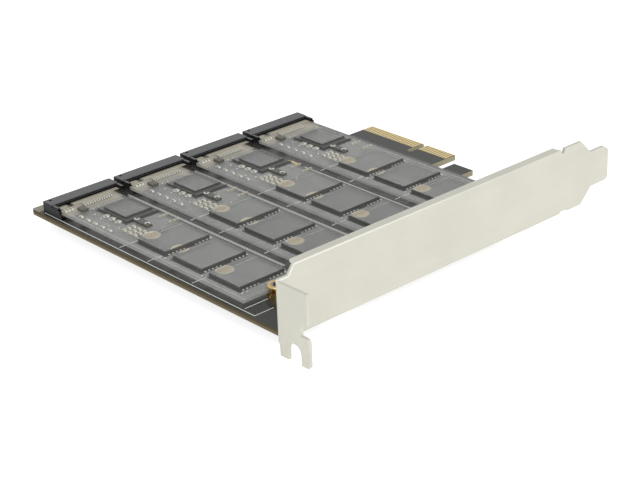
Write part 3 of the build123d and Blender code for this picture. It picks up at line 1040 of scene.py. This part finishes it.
@dataclass
class ModuleTrim:
    """Solder, wires and bars of painted shadow on one module, in millimetres along and across it.
    """

    place: ModulePlace
    flash_along: tuple[float, ...] = (40.7, 55.15, 69.6)
    flash_size: tuple[float, float] = (11.6, 14.2)
    flash_offset: float = 0.8
    controller: tuple[float, float, float, float] = (16.8, -2.5, 13.0, 10.8)
    close_row: PartRow = PartRow(4.8, 3.4, 12, 1.5, step_offset=-0.78)
    ringed_row: PartRow = PartRow(15.8, 3.9, 3, step_along=2.65)
    bar: float = 0.85
    bar_height: float = 0.1
    bar_ease: float = 0.03
    bead: float = 0.42
    bead_height: float = 0.4
    terminal_gap: float = 0.55
    terminal_offsets: tuple[float, float] = (2.4, -1.4)
    lone_beads: tuple[tuple[float, float], ...] = (
        (9.0, 1.6), (9.0, 3.4), (12.6, 5.4), (16.1, 5.9), (21.6, 7.4), (24.6, 6.3),
        (33.2, 6.6), (33.2, -1.2), (47.9, 9.1), (62.4, 9.0), (77.0, 8.4), (77.2, 6.9))
    fillet: Triple = (0.34 * MM, 0.62 * MM, 0.36 * MM)
    row_fillet: Triple = (0.3 * MM, 0.34 * MM, 0.34 * MM)
    windings: tuple[tuple[Triple, float], ...] = (
        ((24.33, 0.2, 0.66), math.pi), ((28.87, 0.2, 0.66), 0.0))
    bed_size: Triple = (2.2 * MM, 9.3 * MM, 0.04 * MM)
    bed_offset: float = -0.89
    bed_ease: float = 0.012

    def rows(self) -> list[PartRow]:
        """Give every row of chip parts but the close one."""
        clusters = [PartRow(along, 3.1, 3, step_offset=1.5) for along in (26.6, 28.9, 31.2)]
        return [PartRow(5.0, 7.6, 3, step_offset=1.0), self.ringed_row,
                PartRow(11.1, 8.8, 5, step_along=3.2), *clusters]

    def ends(self, rows: list[PartRow], fillet: Triple) -> list[Spot]:
        """Give both ends of chip parts and the turn that faces each outwards.

        Args:
            rows: Rows of the parts.
            fillet: Size of the fillet that goes there.

        Returns:
            Places and turns.
        """
        reach = fillet[0] / MM / 2
        places = []
        for row in rows:
            for along, offset, length in row.parts():
                places.append((self.place.at(along - length / 2 - reach, offset), 0.0))
                places.append((self.place.at(along + length / 2 + reach, offset), math.pi))
        return places

    def bead_places(self) -> list[Spot]:
        """Give the beads at the ends of the terminal rows, and those beside the controller."""
        edges = [along + self.flash_size[0] / 2 + self.terminal_gap for along in self.flash_along]
        beads = [(edge, offset) for edge in edges for offset in self.terminal_offsets]
        return [(self.place.at(along, offset, self.bead_height / 4), 0.0)
                for along, offset in (*beads, *self.lone_beads)]

    def shadow_bars(self, along: float, offset: float, length: float,
                  width: float) -> list[Piece]:
        """Model the two dark bars of painted shadow along the package's sides towards the bracket
        and the screw tab.

        Args:
            along: Middle of the package along the module.
            offset: Middle of the package across it.
            length: Length along the module.
            width: Width across it.

        Returns:
            The two bars of the bead.
        """
        # Painted shadow: dark bars where the packages' shade falls on the module.
        rise = self.bar_height / 2
        end = self.place.at(along + (length + self.bar) / 2, offset + self.bar / 2, rise)
        side = self.place.at(along, offset + (width + self.bar) / 2, rise)
        sizes = ((self.bar, width + self.bar), (length, self.bar))
        return [Bench.block("bar", (deep * MM, wide * MM, self.bar_height * MM), middle,
                            self.bar_ease * MM)
                for (deep, wide), middle in zip(sizes, (end, side))]

    def build_shadow_bars(self, finishes: Dressing) -> None:
        """Model the painted shadow bars of the four packages."""
        packages = [(along, self.flash_offset, *self.flash_size) for along in self.flash_along]
        packages.append(self.controller)
        bars = [bar for package in packages for bar in self.shadow_bars(*package)]
        Bench.hand_over(Bench.join(self.place.called("shadow_bars"), bars),
                        finishes["module_package"], "module_package")

    def build_solder(self, finishes: Dressing) -> None:
        """Model the fillets at the chip parts and the round beads.

        Args:
            finishes: Materials by name.
        """
        fillets = Bench.join(self.place.called("solder_fillets"), [
            Bench.repeat(Bench.wedge("fillet", self.fillet), "chip_fillets",
                         self.ends(self.rows(), self.fillet)),
            Bench.repeat(Bench.wedge("fillet", self.row_fillet), "row_fillets",
                         self.ends([self.close_row], self.row_fillet))])
        Bench.hand_over(fillets, finishes["module_solder"], "module_solder")
        size = (self.bead * MM, self.bead * MM, self.bead_height * MM)
        beads = Bench.repeat(Bench.bead("bead", size), self.place.called("solder_beads"),
                             self.bead_places())
        Bench.hand_over(beads, finishes["module_solder"], "module_solder")

    def build_wires(self, finishes: Dressing) -> None:
        """Model the rings round the ringed row and the windings of the two coils."""
        rings = [(self.place.at(along, offset), math.pi / 2)
                 for along, offset, _ in self.ringed_row.parts()]
        turns = [(self.place.at(*spot), turn) for spot, turn in self.windings]
        wires = Bench.join(self.place.called("wires"), [
            Bench.repeat(Bench.arc("ring", radius=0.88 * MM, wire=0.12 * MM, sweep=4.9),
                         "rings", rings),
            Bench.repeat(Bench.arc("winding", radius=0.62 * MM, wire=0.16 * MM, sweep=4.0),
                         "windings", turns)])
        Bench.hand_over(wires, finishes["module_solder"], "module_solder")

    def build(self, finishes: Dressing) -> None:
        """Model every piece of the module.

        Args:
            finishes: Materials by name.
        """
        self.build_shadow_bars(finishes)
        self.build_solder(finishes)
        self.build_wires(finishes)
        middle = self.place.at(self.close_row.along, self.bed_offset, self.bed_size[2] / MM / 2)
        bed = Bench.block(self.place.called("row_bed"), self.bed_size, middle, self.bed_ease * MM)
        Bench.hand_over(bed, finishes["small_chip"], "package_moulding")


@dataclass
class SocketTrim:
    """Black lip over a socket's mouth, a dark strip that stands in for the shade in the mouth, and
    the two latch posts on its arms.
    """

    place: ModulePlace
    cover_front: float = 94.55 * MM
    lip: Triple = (0.9 * MM, 19.9 * MM, 0.46 * MM)
    lip_low: float = 4.94 * MM
    lip_ease: float = 0.08 * MM
    post: Triple = (2.6 * MM, 0.8 * MM, 0.62 * MM)
    post_x: float = 92.9 * MM
    post_offset: float = 10.5 * MM
    post_low: float = 5.02 * MM
    post_ease: float = 0.12 * MM

    def build(self, finishes: Dressing) -> None:
        """Model the lip and the posts.

        Args:
            finishes: Materials by name.
        """
        middle = self.place.line
        # The lip is a dark strip put where the socket's mouth is in shade.
        parts = [Bench.block("lip", self.lip, (self.cover_front - self.lip[0] / 2, middle,
                                               self.lip_low + self.lip[2] / 2), self.lip_ease)]
        for side in (-1, 1):
            place = (self.post_x, middle + side * self.post_offset,
                     self.post_low + self.post[2] / 2)
            parts.append(Bench.block("post", self.post, place, self.post_ease))
        Bench.hand_over(Bench.join(self.place.called("socket_mouth"), parts),
                        finishes["socket_moulding"], "socket_moulding")


@dataclass
class BoardTrim:
    """Leads and plated through-holes on the underside of the board."""

    lead: Triple = (0.9 * MM, 0.3 * MM, 0.16 * MM)
    controller_pitch: float = 0.8 * MM
    controller_leads: int = 17
    memory_pitch: float = 1.27 * MM
    memory_leads: int = 4
    hole_radius: float = 0.3 * MM
    hole_rise: float = 0.03 * MM
    lead_ease: float = 0.04 * MM
    hole_lines: tuple[Triple, ...] = (
        (42.0, -73.6, 2.6), (43.3, -75.2, 2.6), (36.0, -37.4, 2.2), (37.1, -35.9, 2.2))
    holes_per_line: int = 12

    def lead_places(self, node: str, pitch: float, count: int, ends: bool) -> list[Spot]:
        """Give a row of leads along each soldered side of a package.

        Args:
            node: Package's CAD node.
            pitch: Distance between leads.
            count: Leads on one side.
            ends: Whether the sides across X have leads as well.

        Returns:
            Places and turns.
        """
        low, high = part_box(node)
        middle = (low + high) / 2
        level = high.z - self.lead[2] / 2
        reach = self.lead[0] / 2
        places = []
        for step in range(count):
            shift = (step - (count - 1) / 2) * pitch
            for row in (low.y - reach, high.y + reach):
                places.append((Vector((middle.x + shift, row, level)), math.pi / 2))
            if ends:
                for column in (low.x - reach, high.x + reach):
                    places.append((Vector((column, middle.y + shift, level)), 0.0))
        return places

    def hole_places(self) -> list[Spot]:
        """Give the through-holes, in short straight lines."""
        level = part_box("main_board")[0].z - self.hole_rise / 2
        places = []
        for first, row, pitch in self.hole_lines:
            places += [(Vector(((first + step * pitch) * MM, row * MM, level)), 0.0)
                       for step in range(self.holes_per_line)]
        return places

    def build(self, finishes: Dressing) -> None:
        """Model the leads and the holes' plated rims.

        Args:
            finishes: Materials by name.
        """
        rows = (("drive_controller", self.controller_pitch, self.controller_leads, True),
                ("setup_memory", self.memory_pitch, self.memory_leads, False))
        for node, pitch, count, ends in rows:
            lead = Bench.block("lead", self.lead, (0, 0, 0), self.lead_ease)
            leads = Bench.repeat(lead, node + "_leads", self.lead_places(node, pitch, count, ends))
            Bench.hand_over(leads, finishes["tinned_tail"], "tinned_contact")
        rims = Bench.repeat(Bench.disc("rim", self.hole_radius, self.hole_rise),
                            "through_hole_rims", self.hole_places())
        Bench.hand_over(rims, finishes["gold_plate"], "gilt")


@dataclass
class Studio:
    """Pale floor, soft lamps and the camera of the photograph."""

    floor_level: float = -3.25 * MM
    floor_size: float = 6.0
    azimuth: float = 227.404
    elevation: float = 24.862
    roll: float = -1.78
    target: Triple = (15.915 * MM, -37.214 * MM, 9.0 * MM)
    distance: float = 418.541 * MM
    lens: float = 94.45
    shift: tuple[float, float] = (-0.0430, -0.0025)
    sensor: float = 36.0
    floor_grey: float = 0.62
    floor_glow: float = 0.80
    sky: float = 0.55
    lit_middle: Triple = (0.04, -0.05, 0.0)

    def build_camera(self) -> None:
        """Place the camera where the photograph was taken from."""
        turn, rise, roll = (math.radians(v) for v in (self.azimuth, self.elevation, self.roll))
        back = Vector((math.sin(turn) * math.cos(rise), -math.cos(turn) * math.cos(rise),
                       math.sin(rise)))
        level = (-back).cross(Vector((0, 0, 1))).normalized()
        plumb = level.cross(-back)
        right = math.cos(roll) * level + math.sin(roll) * plumb
        up = -math.sin(roll) * level + math.cos(roll) * plumb
        data = bpy.data.cameras.new("photo_camera")
        data.sensor_width = self.sensor
        data.lens = self.lens
        data.shift_x, data.shift_y = self.shift
        data.clip_start, data.clip_end = 0.01, 20.0
        camera = bpy.data.objects.new("photo_camera", data)
        bpy.context.scene.collection.objects.link(camera)
        frame = Matrix((right, up, back)).transposed().to_4x4()
        frame.translation = Vector(self.target) + back * self.distance
        camera.matrix_world = frame
        bpy.context.scene.camera = camera

    def floor_finish(self) -> bpy.types.Material:
        """Pale floor that reads white to the camera but keeps the card's shadow."""
        chain = NodeChain("pale_floor").set(Roughness=0.9)
        chain.colour((self.floor_grey,) * 3)
        chain.gloss(0.1)
        path = chain.new("ShaderNodeLightPath")
        seen = chain.math("MAXIMUM", path.outputs["Is Camera Ray"], chain.math(
            "MAXIMUM", path.outputs["Is Glossy Ray"], path.outputs["Is Transmission Ray"]))
        glow = chain.new("ShaderNodeEmission")
        glow.inputs["Color"].default_value = (1, 1, 1, 1)
        chain.feed(glow.inputs["Strength"], chain.times(seen, self.floor_glow))
        both = chain.new("ShaderNodeAddShader")
        chain.feed(both.inputs[0], chain.shader.outputs[0])
        chain.feed(both.inputs[1], glow.outputs[0])
        chain.feed(chain.tree.nodes["Material Output"].inputs["Surface"], both.outputs[0])
        return chain.material

    def build_floor(self) -> None:
        """Lay the floor under the card."""
        bpy.ops.object.select_all(action="DESELECT")
        bpy.ops.mesh.primitive_plane_add(size=self.floor_size, location=(0, 0, self.floor_level))
        floor = bpy.context.object
        floor.name = "studio_floor"
        bpy.ops.object.transform_apply(location=True, rotation=True, scale=True)
        floor.data.materials.append(self.floor_finish())

    def lamp(self, name: str, power: float, size: float, place: Triple) -> None:
        """Hang a soft square lamp that looks at the card.

        Args:
            name: Name of the lamp.
            power: Power in watts.
            size: Side in metres.
            place: Where it hangs.
        """
        data = bpy.data.lights.new(name, "AREA")
        data.energy = power
        data.size = size
        lamp = bpy.data.objects.new(name, data)
        bpy.context.scene.collection.objects.link(lamp)
        lamp.location = place
        aim = Vector(self.lit_middle) - Vector(place)
        lamp.rotation_euler = aim.to_track_quat("-Z", "Y").to_euler()

    def build_light(self) -> None:
        """Light the card softly from above and from the camera's side."""
        self.lamp("key_lamp", power=4.2, size=1.1, place=(-0.5, 0.35, 0.75))
        self.lamp("side_lamp", power=2.2, size=1.0, place=(-0.8, -0.6, 0.35))
        world = bpy.data.worlds.new("studio_air")
        world.use_nodes = True
        bpy.context.scene.world = world
        tree = world.node_tree
        base = tree.nodes["Background"]
        base.inputs["Color"].default_value = (1, 1, 1, 1)
        base.inputs["Strength"].default_value = self.sky
        white = tree.nodes.new("ShaderNodeBackground")
        white.inputs["Strength"].default_value = 1.0
        path = tree.nodes.new("ShaderNodeLightPath")
        pick = tree.nodes.new("ShaderNodeMath")
        pick.operation = "MAXIMUM"
        tree.links.new(path.outputs["Is Camera Ray"], pick.inputs[0])
        tree.links.new(path.outputs["Is Glossy Ray"], pick.inputs[1])
        choose = tree.nodes.new("ShaderNodeMixShader")
        tree.links.new(pick.outputs[0], choose.inputs[0])
        tree.links.new(base.outputs[0], choose.inputs[1])
        tree.links.new(white.outputs[0], choose.inputs[2])
        tree.links.new(choose.outputs[0], tree.nodes["World Output"].inputs["Surface"])

    def build(self) -> None:
        """Set up the whole studio."""
        self.build_camera()
        self.build_floor()
        self.build_light()
        bpy.context.scene.view_settings.view_transform = "Standard"


def main() -> None:
    """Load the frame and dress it."""
    logging.basicConfig(level=logging.INFO, format="%(message)s")
    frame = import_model()
    finishes = Finishes()
    finishes.dress(frame["nodes"])
    finishes.soften(frame["nodes"]["bracket"])
    for index in range(MODULE_COUNT):
        ModuleTrim(ModulePlace(index)).build(finishes.by_name)
        SocketTrim(ModulePlace(index)).build(finishes.by_name)
    BoardTrim().build(finishes.by_name)
    Studio().build()


if __name__ == "__main__":
    main()
